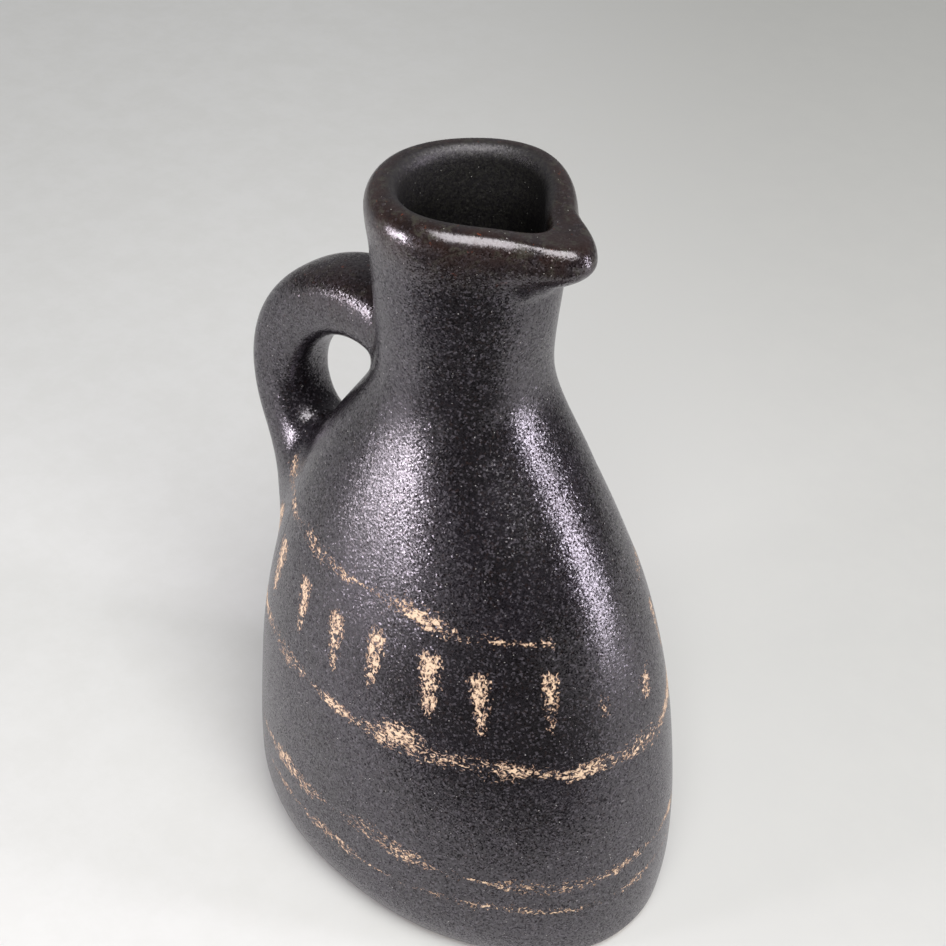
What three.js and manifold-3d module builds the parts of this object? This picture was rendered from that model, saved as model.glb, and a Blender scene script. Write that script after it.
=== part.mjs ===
// Ceramic jug: an oval body that draws up into a round neck, with a pinched spout and a pulled handle.
// Millimetres, +Z up. The origin is the middle of the foot, +X points to the spout and -X to the handle.
import * as THREE from 'three';
import { mergeVertices } from 'three/addons/utils/BufferGeometryUtils.js';
import Module from 'manifold-3d';

// Outside form: a length is along X and a depth along Y
const HEIGHT = 170;
const FOOT_LENGTH = 105;
const FOOT_DEPTH = 69;
const BELLY_LENGTH = 106.5;
const BELLY_DEPTH = 79.3;
const BELLY_HEIGHT = 16;
const NECK_DIAMETER = 35.6;
const NECK_HEIGHT = 130;
const NECK_SETBACK = 4.9;
const RIM_LENGTH = 40.4;
const RIM_DEPTH = 42.6;

// How far each outline runs straight up from the belly and straight down from the neck
const LENGTH_BELLY_RISE = 88;
const LENGTH_NECK_DROP = 17;
const DEPTH_BELLY_RISE = 66;
const DEPTH_NECK_DROP = 18;
const NECK_RISE = 12;
const RIM_DROP = 14;

// Exponent of the oval section: 2 is an ellipse, more is fuller at the corners
const BODY_FULLNESS = 2.12;
const RIM_FULLNESS = 1.85;

// Spout, pinched out of the rim: reaches in millimetres, spreads in radians round the neck
const SPOUT_START_HEIGHT = 151;
const SPOUT_FULL_HEIGHT = 166;
const SPOUT_REACH = 9.6;
const SPOUT_SPREAD = 0.34;
const SPOUT_CHANNEL_REACH = 4.6;
const SPOUT_DIP = 2.4;
const SPOUT_DIP_SPREAD = 0.8;

// Clay thickness, edges and joints
const WALL = 5;
const THROAT_WALL = 6;
const THROAT_HEIGHT = 158;
const RIM_WALL = 6.8;
const RIM_OUTER_RADIUS = 3.3;
const RIM_INNER_RADIUS = 2.2;
const FLOOR_THICKNESS = 6;
const FOOT_RADIUS = 3;
const COLLAR_JOINT_HEIGHT = 112;
const SLIP_GAP = 0.3;

// Handle: the centres of its roots, its furthest point and how it leaves each, measured from the collar joint
const TOP_ROOT_RISE = 16;
const LOW_ROOT_DROP = 40;
const ROOT_DEPTH = 5.5;
const HANDLE_REACH = 35;
const HANDLE_REACH_DROP = 8;
const ARCH_RISE = 10;
const ARCH_OUT = 14;
const ARCH_SHOULDER = 20;
const GRIP_DROP = 11;
const LOW_ROOT_PULL_OUT = 6.5;
const LOW_ROOT_PULL_UP = 10.5;

// Handle section: width along Y and thickness, at the top root, the middle and the low root
const HANDLE_WIDTHS = [19.4, 16, 16.4];
const HANDLE_THICKNESSES = [17.4, 15.6, 10.5];
const HANDLE_FULLNESS = 2.2;

// Facets
const SIDES = 64;
const WALL_STEPS = 13;
const NECK_STEPS = 10;
const SPOUT_STEPS = 5;
const EDGE_STEPS = 4;
const HANDLE_SIDES = 20;
const HANDLE_STEPS = 30;

const wasm = await Module();
wasm.setup();

const clay = { roughness: 0.45, metalness: 0 };
const baseClay = new THREE.MeshStandardMaterial({ color: 0x2e2a2c, ...clay });
const bodyClay = new THREE.MeshStandardMaterial({ color: 0x35313a, ...clay });
const neckClay = new THREE.MeshStandardMaterial({ color: 0x3a3030, ...clay });
const handleClay = new THREE.MeshStandardMaterial({ color: 0x2c282c, ...clay });

const { lerp, smoothstep } = THREE.MathUtils;

// Outlines

function curveThrough(...points) {
  return new THREE.CubicBezierCurve(...points.map(([across, up]) => new THREE.Vector2(across, up)));
}

// The three stretches of one outline, from the foot to the belly, the neck and the rim
function outline(foot, belly, rim, bellyRise, neckDrop) {
  const neck = NECK_DIAMETER;
  return [
    curveThrough([foot, 0], [belly, BELLY_HEIGHT / 3], [belly, BELLY_HEIGHT / 2], [belly, BELLY_HEIGHT]),
    curveThrough(
      [belly, BELLY_HEIGHT],
      [belly, BELLY_HEIGHT + bellyRise],
      [neck, NECK_HEIGHT - neckDrop],
      [neck, NECK_HEIGHT],
    ),
    curveThrough([neck, NECK_HEIGHT], [neck, NECK_HEIGHT + NECK_RISE], [rim, HEIGHT - RIM_DROP], [rim, HEIGHT]),
  ];
}

const lengthOutline = outline(FOOT_LENGTH, BELLY_LENGTH, RIM_LENGTH, LENGTH_BELLY_RISE, LENGTH_NECK_DROP);
const depthOutline = outline(FOOT_DEPTH, BELLY_DEPTH, RIM_DEPTH, DEPTH_BELLY_RISE, DEPTH_NECK_DROP);

// Half of the outline's width at a height, found by halving the stretch that holds it
function halfWidth(stretches, height) {
  const stretch = stretches.find((curve) => height <= curve.v3.y) ?? stretches[2];
  let low = 0;
  let high = 1;
  while (high - low > 1e-9) {
    const middle = (low + high) / 2;
    if (stretch.getPoint(middle).y < height) low = middle;
    else high = middle;
  }
  return stretch.getPoint(low).x / 2;
}

// Clay thickness measured level, so that it is the stated thickness square to the sloping wall
function levelThickness(stretches, height) {
  const step = 0.5;
  const above = halfWidth(stretches, Math.min(height + step, HEIGHT));
  const below = halfWidth(stretches, Math.max(height - step, 0));
  return thicknessAt(height) * Math.hypot(1, (above - below) / (2 * step));
}

function thicknessAt(height) {
  if (height < THROAT_HEIGHT) {
    return lerp(WALL, THROAT_WALL, smoothstep(height, COLLAR_JOINT_HEIGHT, THROAT_HEIGHT));
  }
  return lerp(THROAT_WALL, RIM_WALL, smoothstep(height, THROAT_HEIGHT, HEIGHT));
}

// Rings

function centreAt(height) {
  return -NECK_SETBACK * smoothstep(height, 0, NECK_HEIGHT);
}

// One level ring of points, with the two insets taken off its length and depth
function ring(height, lengthInset, depthInset, spoutReach) {
  const halfLength = halfWidth(lengthOutline, height) - lengthInset;
  const halfDepth = halfWidth(depthOutline, height) - depthInset;
  const fullness = lerp(BODY_FULLNESS, RIM_FULLNESS, smoothstep(height, NECK_HEIGHT, HEIGHT));
  const spout = smoothstep(height, SPOUT_START_HEIGHT, SPOUT_FULL_HEIGHT);
  return Array.from({ length: SIDES }, (_, side) => {
    const angle = (side / SIDES) * 2 * Math.PI;
    const turn = Math.min(angle, 2 * Math.PI - angle);
    const along = Math.abs(Math.cos(angle)) / halfLength;
    const across = Math.abs(Math.sin(angle)) / halfDepth;
    const oval = (along ** fullness + across ** fullness) ** (-1 / fullness);
    const radius = oval + spoutReach * spout * Math.exp(-((turn / SPOUT_SPREAD) ** 2));
    const dip = SPOUT_DIP * spout * Math.exp(-((turn / SPOUT_DIP_SPREAD) ** 2));
    return new THREE.Vector3(
      centreAt(height) + radius * Math.cos(angle),
      radius * Math.sin(angle),
      height - dip,
    );
  });
}

function outerRing(height, inset = 0) {
  return ring(height, inset, inset, SPOUT_REACH);
}

function innerRing(height, inset = 0) {
  const lengthInset = levelThickness(lengthOutline, height) + inset;
  const depthInset = levelThickness(depthOutline, height) + inset;
  return ring(height, lengthInset, depthInset, SPOUT_CHANNEL_REACH);
}

function heightsBetween(start, end, steps) {
  return Array.from({ length: steps + 1 }, (_, step) => lerp(start, end, step / steps));
}

// Heights and insets of a rounded edge, from its level tangent to its upright one
function roundedEdge(radius) {
  return Array.from({ length: EDGE_STEPS + 1 }, (_, step) => {
    const angle = (step / EDGE_STEPS) * (Math.PI / 2);
    return { rise: radius * (1 - Math.cos(angle)), inset: radius * (1 - Math.sin(angle)) };
  });
}

// Solids

// A closed body through rings of equal length: looped round a hollow, or capped at its first and last ring
function loft(rings, looped) {
  const count = rings[0].length;
  const points = rings.flat();
  const faces = [];
  const last = looped ? rings.length : rings.length - 1;
  for (let row = 0; row < last; row += 1) {
    const next = (row + 1) % rings.length;
    for (let side = 0; side < count; side += 1) {
      const beside = (side + 1) % count;
      const a = row * count + side;
      const b = row * count + beside;
      const c = next * count + beside;
      const d = next * count + side;
      faces.push(a, b, c, a, c, d);
    }
  }
  if (!looped) {
    const ends = [rings[0], rings[rings.length - 1]];
    ends.forEach((end, index) => {
      const centre = points.length;
      const middle = end.reduce((sum, point) => sum.add(point), new THREE.Vector3()).divideScalar(count);
      points.push(middle);
      const first = index === 0 ? 0 : (rings.length - 1) * count;
      for (let side = 0; side < count; side += 1) {
        const beside = (side + 1) % count;
        const pair = index === 0 ? [beside, side] : [side, beside];
        faces.push(centre, first + pair[0], first + pair[1]);
      }
    });
  }
  const geometry = new THREE.BufferGeometry().setFromPoints(points);
  geometry.setIndex(faces);
  return geometry;
}

function toManifold(geometry) {
  const merged = mergeVertices(geometry);
  return new wasm.Manifold(
    new wasm.Mesh({
      numProp: 3,
      vertProperties: new Float32Array(merged.attributes.position.array),
      triVerts: new Uint32Array(merged.index.array),
    }),
  );
}

function toGeometry(manifold) {
  const mesh = manifold.getMesh();
  const geometry = new THREE.BufferGeometry();
  geometry.setAttribute('position', new THREE.BufferAttribute(mesh.vertProperties, 3));
  geometry.setIndex(new THREE.BufferAttribute(mesh.triVerts, 1));
  return geometry;
}

// Base: the oval slab that the wall stands on, with its lower edge rounded
function makeBase() {
  const edge = roundedEdge(FOOT_RADIUS).map(({ rise, inset }) => outerRing(rise, inset));
  return loft([...edge, outerRing(FLOOR_THICKNESS)], false);
}

// Body wall: open below onto the base and above into the collar
function makeBodyWall() {
  const up = heightsBetween(FLOOR_THICKNESS, COLLAR_JOINT_HEIGHT, WALL_STEPS);
  const outside = up.map((height) => outerRing(height));
  const inside = up.map((height) => innerRing(height)).reverse();
  return loft([...outside, ...inside], true);
}

// Neck: the collar with the rounded rim and the spout drawn out of it
function makeNeck() {
  const straight = heightsBetween(COLLAR_JOINT_HEIGHT, SPOUT_START_HEIGHT, NECK_STEPS);
  const flare = heightsBetween(SPOUT_START_HEIGHT, HEIGHT - RIM_OUTER_RADIUS, SPOUT_STEPS).slice(1, -1);
  const upright = [...straight, ...flare];
  const outerEdge = roundedEdge(RIM_OUTER_RADIUS)
    .reverse()
    .map(({ rise, inset }) => outerRing(HEIGHT - rise, inset));
  const innerEdge = roundedEdge(RIM_INNER_RADIUS).map(({ rise, inset }) => innerRing(HEIGHT - rise, -inset));
  const outside = upright.map((height) => outerRing(height));
  const inside = upright.map((height) => innerRing(height)).reverse();
  return loft([...outside, ...outerEdge, ...innerEdge, ...inside], true);
}

// The outside of the pot, grown by the slip gap, which trims the handle's roots
function makeTrimmer() {
  const up = heightsBetween(FLOOR_THICKNESS, COLLAR_JOINT_HEIGHT, WALL_STEPS);
  const neck = heightsBetween(COLLAR_JOINT_HEIGHT, SPOUT_START_HEIGHT, NECK_STEPS).slice(1);
  const rings = [...up, ...neck].map((height) => {
    const lengthGap = SLIP_GAP * (levelThickness(lengthOutline, height) / thicknessAt(height));
    const depthGap = SLIP_GAP * (levelThickness(depthOutline, height) / thicknessAt(height));
    return ring(height, -lengthGap, -depthGap, SPOUT_REACH);
  });
  return loft(rings, false);
}

// The handle's centre line in the XZ plane: an arch out to its furthest point, then a grip down to the body
function handleLine() {
  const topHeight = COLLAR_JOINT_HEIGHT + TOP_ROOT_RISE;
  const lowHeight = COLLAR_JOINT_HEIGHT - LOW_ROOT_DROP;
  const wallAt = (height) => centreAt(height) - halfWidth(lengthOutline, height);
  const top = new THREE.Vector3(wallAt(topHeight) + ROOT_DEPTH, 0, topHeight);
  const low = new THREE.Vector3(wallAt(lowHeight) + ROOT_DEPTH, 0, lowHeight);
  const far = new THREE.Vector3(wallAt(topHeight) - HANDLE_REACH, 0, COLLAR_JOINT_HEIGHT - HANDLE_REACH_DROP);
  const offset = (point, x, z) => new THREE.Vector3(point.x + x, 0, point.z + z);
  const arch = new THREE.CubicBezierCurve3(
    top,
    offset(top, -ARCH_OUT, ARCH_RISE),
    offset(far, 0, ARCH_SHOULDER),
    far,
  );
  const grip = new THREE.CubicBezierCurve3(
    far,
    offset(far, 0, -GRIP_DROP),
    offset(low, -LOW_ROOT_PULL_OUT, LOW_ROOT_PULL_UP),
    low,
  );
  const path = new THREE.CurvePath();
  path.add(arch);
  path.add(grip);
  return path;
}

function valueAlong(values, share) {
  const [start, middle, end] = values;
  return share < 0.5 ? lerp(start, middle, share * 2) : lerp(middle, end, share * 2 - 1);
}

// Handle: an oval section carried along the centre line, its roots cut to the pot's outside
function makeHandle() {
  const path = handleLine();
  const rings = Array.from({ length: HANDLE_STEPS + 1 }, (_, step) => {
    const share = step / HANDLE_STEPS;
    const centre = path.getPointAt(share);
    const tangent = path.getTangentAt(share);
    const outward = new THREE.Vector3(tangent.z, 0, -tangent.x);
    const halfSide = valueAlong(HANDLE_WIDTHS, share) / 2;
    const halfThick = valueAlong(HANDLE_THICKNESSES, share) / 2;
    return Array.from({ length: HANDLE_SIDES }, (__, side) => {
      const angle = (side / HANDLE_SIDES) * 2 * Math.PI;
      const oval =
        (Math.abs(Math.cos(angle)) ** HANDLE_FULLNESS + Math.abs(Math.sin(angle)) ** HANDLE_FULLNESS) **
        (-1 / HANDLE_FULLNESS);
      const point = centre.clone().addScaledVector(outward, halfThick * oval * Math.cos(angle));
      point.y += halfSide * oval * Math.sin(angle);
      return point;
    });
  });
  return toGeometry(toManifold(loft(rings, false)).subtract(toManifold(makeTrimmer())));
}

function piece(name, geometry, material) {
  const mesh = new THREE.Mesh(geometry, material);
  mesh.name = name;
  return mesh;
}

const jug = new THREE.Group();
jug.add(piece('base', makeBase(), baseClay));
jug.add(piece('body_wall', makeBodyWall(), bodyClay));
jug.add(piece('neck', makeNeck(), neckClay));
jug.add(piece('handle', makeHandle(), handleClay));

export default jug;
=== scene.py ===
"""Looks of the ceramic jug: a hand-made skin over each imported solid, satin glaze and a plain studio."""

import math

import bpy
import numpy as np
from mathutils import Matrix, Vector


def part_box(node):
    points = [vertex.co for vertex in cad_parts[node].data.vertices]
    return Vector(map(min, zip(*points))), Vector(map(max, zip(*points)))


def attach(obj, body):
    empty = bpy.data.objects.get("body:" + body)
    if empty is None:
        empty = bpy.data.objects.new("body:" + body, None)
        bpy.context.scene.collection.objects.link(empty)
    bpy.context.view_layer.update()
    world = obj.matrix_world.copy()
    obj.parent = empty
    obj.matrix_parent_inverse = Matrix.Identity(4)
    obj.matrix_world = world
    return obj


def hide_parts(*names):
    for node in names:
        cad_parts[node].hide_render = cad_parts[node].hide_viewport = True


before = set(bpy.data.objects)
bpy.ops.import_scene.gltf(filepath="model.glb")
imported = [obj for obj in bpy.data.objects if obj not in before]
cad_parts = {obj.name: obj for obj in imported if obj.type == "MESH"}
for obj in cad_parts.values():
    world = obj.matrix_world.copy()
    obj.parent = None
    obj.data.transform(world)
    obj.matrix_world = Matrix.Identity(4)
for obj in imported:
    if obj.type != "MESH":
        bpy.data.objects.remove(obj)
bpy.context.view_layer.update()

MM = 0.001
X, Y, Z = range(3)


def low_of(node, axis):
    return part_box(node)[0][axis] / MM


def high_of(node, axis):
    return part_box(node)[1][axis] / MM


# Outside form in millimetres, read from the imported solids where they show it
HEIGHT = high_of("neck", Z)
COLLAR_JOINT_HEIGHT = low_of("neck", Z)
FLOOR_THICKNESS = high_of("base", Z)
BELLY_DEPTH = high_of("body_wall", Y) - low_of("body_wall", Y)

# The rest of the form, with the same names and values as the solids have
FOOT_LENGTH = 105
FOOT_DEPTH = 69
BELLY_LENGTH = 106.5
BELLY_HEIGHT = 16
NECK_DIAMETER = 35.6
NECK_HEIGHT = 130
NECK_SETBACK = 4.9
RIM_LENGTH = 40.4
RIM_DEPTH = 42.6
LENGTH_BELLY_RISE = 88
LENGTH_NECK_DROP = 17
DEPTH_BELLY_RISE = 66
DEPTH_NECK_DROP = 18
NECK_RISE = 12
RIM_DROP = 14
BODY_FULLNESS = 2.12
RIM_FULLNESS = 1.85
SPOUT_START_HEIGHT = 151
SPOUT_FULL_HEIGHT = 166
SPOUT_REACH = 9.6
SPOUT_SPREAD = 0.34
SPOUT_DIP = 2.4
SPOUT_DIP_SPREAD = 0.8
WALL = 5
THROAT_WALL = 6
THROAT_HEIGHT = 158
RIM_WALL = 6.8
FOOT_RADIUS = 3
TOP_ROOT_RISE = 16
LOW_ROOT_DROP = 40
ROOT_DEPTH = 5.5
HANDLE_REACH_DROP = 8
ARCH_RISE = 10
ARCH_OUT = 14
ARCH_SHOULDER = 20
GRIP_DROP = 11
LOW_ROOT_PULL_OUT = 6.5
LOW_ROOT_PULL_UP = 10.5
HANDLE_WIDTHS = (19.4, 16, 16.4)
HANDLE_THICKNESSES = (17.4, 15.6, 10.5)

# How the hand-made surface departs from the solids
EVENING = 3.5  # the outlines are evened over this height
WAVER = 0.4  # the clay wavers inwards by up to this
WAVER_LENGTHS = (24, 75)
WAVER_COUNT = 14
SPOUT_CHANNEL_REACH = 4.0  # 4.6 in the solids
RIM_OUTER_ROUND = (5.2, 3.7)  # how far down and how far across the rim is rounded outside
RIM_INNER_ROUND = (3.4, 2.4)
LIP_ROLL = 0.75  # the lip swells outwards by this
LIP_ROLL_DROPS = (15, 5)  # below the top, from no swelling to all of it
FOOT_RECESS = 0.5
FOOT_RECESS_EDGE = (0.84, 0.9)  # of the way from the middle of the foot to its rounded edge
HANDLE_REACH = 34.1  # 35 in the solids
HANDLE_FULLNESS = 2.6  # 2.2 in the solids
TOP_FILLET = 3.2
LOW_FILLET = 14.0
LOW_FILLET_BELOW = 4.0  # on the side of the low root that looks away from the finger hole
LOW_FILLET_SPAN = (-8, 5)  # above the low root's centre, from LOW_FILLET_BELOW to LOW_FILLET
TOP_FILLET_SPAN = (-14, 2)  # above the collar joint, from LOW_FILLET to TOP_FILLET

# The handle's skirts: rows of points that lead from the pot onto the handle at each root
SKIRT_FILLET_SHARE = 1.35  # a skirt reaches this share of the fillet, and SKIRT_SPARE more
SKIRT_SPARE = 1.5
SKIRT_HEM = 0.7  # from the skirt to one more row on the pot, its hem
HEM_DIVE = 0.25  # of the hem, under the pot's skin
HANDLE_LIFT = 0.03  # of the handle's skin, so that its skirts lie over the pot's

# Facets: how many, and how far apart in millimetres
SIDES = 288
ROW = 1.2
RIM_ROW = 0.8
RIM_STEPS = 12
INNER_ROW = 3
FOOT_ROWS = 20
FOOT_SHARES = (0.05, 0.97)  # of the way from the middle of the foot, the first and the last row under it
FOOT_STEPS = 8
HANDLE_SIDES = 80
HANDLE_ROWS = 76
SKIRT_ROWS = 14
OUTLINE_POINTS = 2000
HANDLE_CURVE_POINTS = 400
HANDLE_LINE_POINTS = 500
RUN_ON_POINTS = 60
GIRTH_POINTS = 721
ROOT_SEARCH = 12  # how far past the ends of the handle's line its sides may leave the pot

TINY = 1e-9  # the least length that anything is divided by

rng = np.random.default_rng(11)


def mix(a, b, share):
    return a + (b - a) * share


def smooth(value, start, end):
    share = np.clip((value - start) / (end - start), 0, 1)
    return share * share * (3 - 2 * share)


def unit(vectors):
    return vectors / np.maximum(np.linalg.norm(vectors, axis=-1, keepdims=True), TINY)


# Outlines

OUTLINE_STEP = 0.1
outline_heights = np.arange(0, HEIGHT + OUTLINE_STEP / 2, OUTLINE_STEP)


def bezier(points, share):
    a, b, c, d = (np.array(point, float) for point in points)
    t = share[:, None]
    return (1 - t) ** 3 * a + 3 * (1 - t) ** 2 * t * b + 3 * (1 - t) * t**2 * c + t**3 * d


def evened(values, reach):
    """values at outline_heights, each averaged over about reach millimetres, with both ends kept."""
    count = int(3 * reach / OUTLINE_STEP)
    offsets = np.arange(-count, count + 1) * OUTLINE_STEP
    weights = np.exp(-((offsets / reach) ** 2) / 2)
    before = 2 * values[0] - values[count:0:-1]
    after = 2 * values[-1] - values[-2 : -count - 2 : -1]
    padded = np.concatenate([before, values, after])
    return np.convolve(padded, weights / weights.sum(), "valid")


def outline(foot, belly, rim, belly_rise, neck_drop):
    """Half widths at outline_heights, from the foot through the belly and the neck to the rim."""
    neck = NECK_DIAMETER
    stretches = [
        [(foot, 0), (belly, BELLY_HEIGHT / 3), (belly, BELLY_HEIGHT / 2), (belly, BELLY_HEIGHT)],
        [
            (belly, BELLY_HEIGHT),
            (belly, BELLY_HEIGHT + belly_rise),
            (neck, NECK_HEIGHT - neck_drop),
            (neck, NECK_HEIGHT),
        ],
        [(neck, NECK_HEIGHT), (neck, NECK_HEIGHT + NECK_RISE), (rim, HEIGHT - RIM_DROP), (rim, HEIGHT)],
    ]
    share = np.linspace(0, 1, OUTLINE_POINTS)
    line = np.concatenate([bezier(stretch, share) for stretch in stretches])
    return evened(np.interp(outline_heights, line[:, 1], line[:, 0]) / 2, EVENING)


length_outline = outline(FOOT_LENGTH, BELLY_LENGTH, RIM_LENGTH, LENGTH_BELLY_RISE, LENGTH_NECK_DROP)
depth_outline = outline(FOOT_DEPTH, BELLY_DEPTH, RIM_DEPTH, DEPTH_BELLY_RISE, DEPTH_NECK_DROP)
length_slope = np.gradient(length_outline, OUTLINE_STEP)
depth_slope = np.gradient(depth_outline, OUTLINE_STEP)


def at(height, values):
    """One of the outlines or slopes, at any heights."""
    return np.interp(height, outline_heights, values)


def centre_at(height):
    return -NECK_SETBACK * smooth(height, 0, NECK_HEIGHT)


def thickness_at(height):
    below = mix(WALL, THROAT_WALL, smooth(height, COLLAR_JOINT_HEIGHT, THROAT_HEIGHT))
    above = mix(THROAT_WALL, RIM_WALL, smooth(height, THROAT_HEIGHT, HEIGHT))
    return np.where(height < THROAT_HEIGHT, below, above)


# Waver of the hand-made clay: a sum of long waves through space, so that it closes on itself round the pot

wave_ways = unit(rng.normal(size=(WAVER_COUNT, 3)))
wave_numbers = 2 * np.pi / rng.uniform(*WAVER_LENGTHS, WAVER_COUNT)
wave_starts = rng.uniform(0, 2 * np.pi, WAVER_COUNT)


def waves(points):
    total = 0
    for way, number, start in zip(wave_ways, wave_numbers, wave_starts):
        total = total + np.sin(points @ way * number + start)
    return total / math.sqrt(WAVER_COUNT / 2)


def waver(points):
    return -WAVER * (0.5 + 0.5 * np.tanh(waves(points)))


def oval_radius(angle, height, length_inset, depth_inset):
    """Distance of the oval wall from its centre, for arrays of angles and heights."""
    fullness = mix(BODY_FULLNESS, RIM_FULLNESS, smooth(height, NECK_HEIGHT, HEIGHT))
    along = np.abs(np.cos(angle)) / (at(height, length_outline) - length_inset)
    across = np.abs(np.sin(angle)) / (at(height, depth_outline) - depth_inset)
    return (along**fullness + across**fullness) ** (-1 / fullness)


def placed(angle, height, radius, lift=0.0):
    x = centre_at(height) + radius * np.cos(angle)
    return np.stack(np.broadcast_arrays(x, radius * np.sin(angle), height + lift), -1)


def ring(angle, height, length_inset, depth_inset, spout_reach):
    """One level ring of points, with the spout pushed out of it and its top dipped there."""
    turn = np.minimum(angle, 2 * np.pi - angle)
    spout = smooth(height, SPOUT_START_HEIGHT, SPOUT_FULL_HEIGHT)
    roll_start, roll_end = LIP_ROLL_DROPS
    radius = oval_radius(angle, height, length_inset, depth_inset)
    radius = radius + spout_reach * spout * np.exp(-((turn / SPOUT_SPREAD) ** 2))
    radius = radius + LIP_ROLL * smooth(height, HEIGHT - roll_start, HEIGHT - roll_end)
    radius = radius + waver(placed(angle, height, radius))
    dip = SPOUT_DIP * spout * np.exp(-((turn / SPOUT_DIP_SPREAD) ** 2))
    uneven = smooth(height, SPOUT_START_HEIGHT, HEIGHT) * waver(placed(angle, height, radius / 2))
    return placed(angle, height, radius, uneven - dip)


def outer_ring(angle, height, inset=0.0):
    return ring(angle, height, inset, inset, SPOUT_REACH)


def inner_ring(angle, height, inset=0.0):
    thickness = thickness_at(height)
    length_inset = thickness * np.hypot(1, at(height, length_slope)) + inset
    depth_inset = thickness * np.hypot(1, at(height, depth_slope)) + inset
    return ring(angle, height, length_inset, depth_inset, SPOUT_CHANNEL_REACH)


# The pot as one chain of rings: from the middle of the foot up the outside, over the rim and down inside

angles = np.arange(SIDES) / SIDES * 2 * np.pi


def rounded_edge(down, across, steps):
    """(rise, inset) pairs along a quarter of an oval, from its level end to its upright one."""
    turns = np.linspace(0, np.pi / 2, steps + 1)
    return list(zip(down * (1 - np.cos(turns)), across * (1 - np.sin(turns))))


def rings_between(make_ring, start, end, step):
    """Evenly spaced rings after the one at start, up or down to the one at end."""
    heights = np.linspace(start, end, int(round(abs(end - start) / step)) + 1)
    return [make_ring(angles, height) for height in heights[1:]]


def foot_rings():
    """The rings under the foot, which is slightly hollow, and round its edge."""
    edge = outer_ring(angles, 0.0, FOOT_RADIUS)
    middle = edge.mean(0)
    rows = []
    for share in np.linspace(*FOOT_SHARES, FOOT_ROWS):
        row = middle + (edge - middle) * share
        row[:, Z] = FOOT_RECESS * (1 - smooth(share, *FOOT_RECESS_EDGE))
        rows.append(row)
    rounding = rounded_edge(FOOT_RADIUS, FOOT_RADIUS, FOOT_STEPS)
    return rows + [outer_ring(angles, rise, inset) for rise, inset in rounding]


def rim_rings():
    """The rings over the rim, from the outside to the inside."""
    outside = rounded_edge(*RIM_OUTER_ROUND, RIM_STEPS)[-2::-1]
    inside = rounded_edge(*RIM_INNER_ROUND, RIM_STEPS)
    rows = [outer_ring(angles, HEIGHT - rise, inset) for rise, inset in outside]
    return rows + [inner_ring(angles, HEIGHT - rise, -inset) for rise, inset in inside]


def pot_rings():
    """The chain's rings, and the row at which each named stretch starts."""
    marks = {}
    rows = foot_rings()
    rows += rings_between(outer_ring, FOOT_RADIUS, FLOOR_THICKNESS, ROW)
    marks["wall"] = len(rows) - 1
    rows += rings_between(outer_ring, FLOOR_THICKNESS, COLLAR_JOINT_HEIGHT, ROW)
    marks["collar"] = len(rows) - 1
    rows += rings_between(outer_ring, COLLAR_JOINT_HEIGHT, SPOUT_START_HEIGHT, ROW)
    rows += rings_between(outer_ring, SPOUT_START_HEIGHT, HEIGHT - RIM_OUTER_ROUND[0], RIM_ROW)
    rows += rim_rings()
    rows += rings_between(inner_ring, HEIGHT - RIM_INNER_ROUND[0], COLLAR_JOINT_HEIGHT, INNER_ROW / 2)
    marks["inside_collar"] = len(rows) - 1
    rows += rings_between(inner_ring, COLLAR_JOINT_HEIGHT, FLOOR_THICKNESS, INNER_ROW)
    return np.array(rows), marks


def grid_normals(rings):
    """Outward normals of a chain of closed rings, from the slopes between neighbours on each side."""
    round_way = np.roll(rings, -1, 1) - np.roll(rings, 1, 1)
    steps = np.diff(rings, axis=0)
    spans = np.maximum(np.linalg.norm(steps, axis=-1, keepdims=True), TINY)
    ways = steps / spans
    chain_way = np.empty_like(rings)
    chain_way[0] = ways[0]
    chain_way[-1] = ways[-1]
    chain_way[1:-1] = (ways[:-1] * spans[1:] + ways[1:] * spans[:-1]) / (spans[:-1] + spans[1:])
    return unit(np.cross(round_way, chain_way))


# Meshes


def side_quads(row_count, side_count):
    """Faces between neighbouring rings, for points that are listed ring after ring."""
    corner = np.arange(side_count)
    beside = (corner + 1) % side_count
    quads = []
    for row in range(row_count - 1):
        here = row * side_count
        above = here + side_count
        quads.append(np.stack([here + corner, here + beside, above + beside, above + corner], 1))
    return np.concatenate(quads)


def end_faces(row_count, side_count, ends):
    """Faces that close a chain of rings. The middles of flat ends are listed after the rings' points."""
    corner = np.arange(side_count)
    beside = (corner + 1) % side_count
    last = (row_count - 1) * side_count
    if ends == "joined":
        return np.stack([last + corner, last + beside, beside, corner], 1)
    first_middle = np.full(side_count, row_count * side_count)
    first_lid = np.stack([beside, corner, first_middle], 1)
    last_lid = np.stack([last + corner, last + beside, first_middle + 1], 1)
    return np.concatenate([first_lid, last_lid])


def face_normals_of(mesh):
    """For each corner of each face, the face's own normal."""
    normals = np.empty(len(mesh.polygons) * 3)
    mesh.polygons.foreach_get("normal", normals)
    corner_counts = np.empty(len(mesh.polygons), np.int32)
    mesh.polygons.foreach_get("loop_total", corner_counts)
    return np.repeat(normals.reshape(-1, 3), corner_counts, 0)


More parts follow.
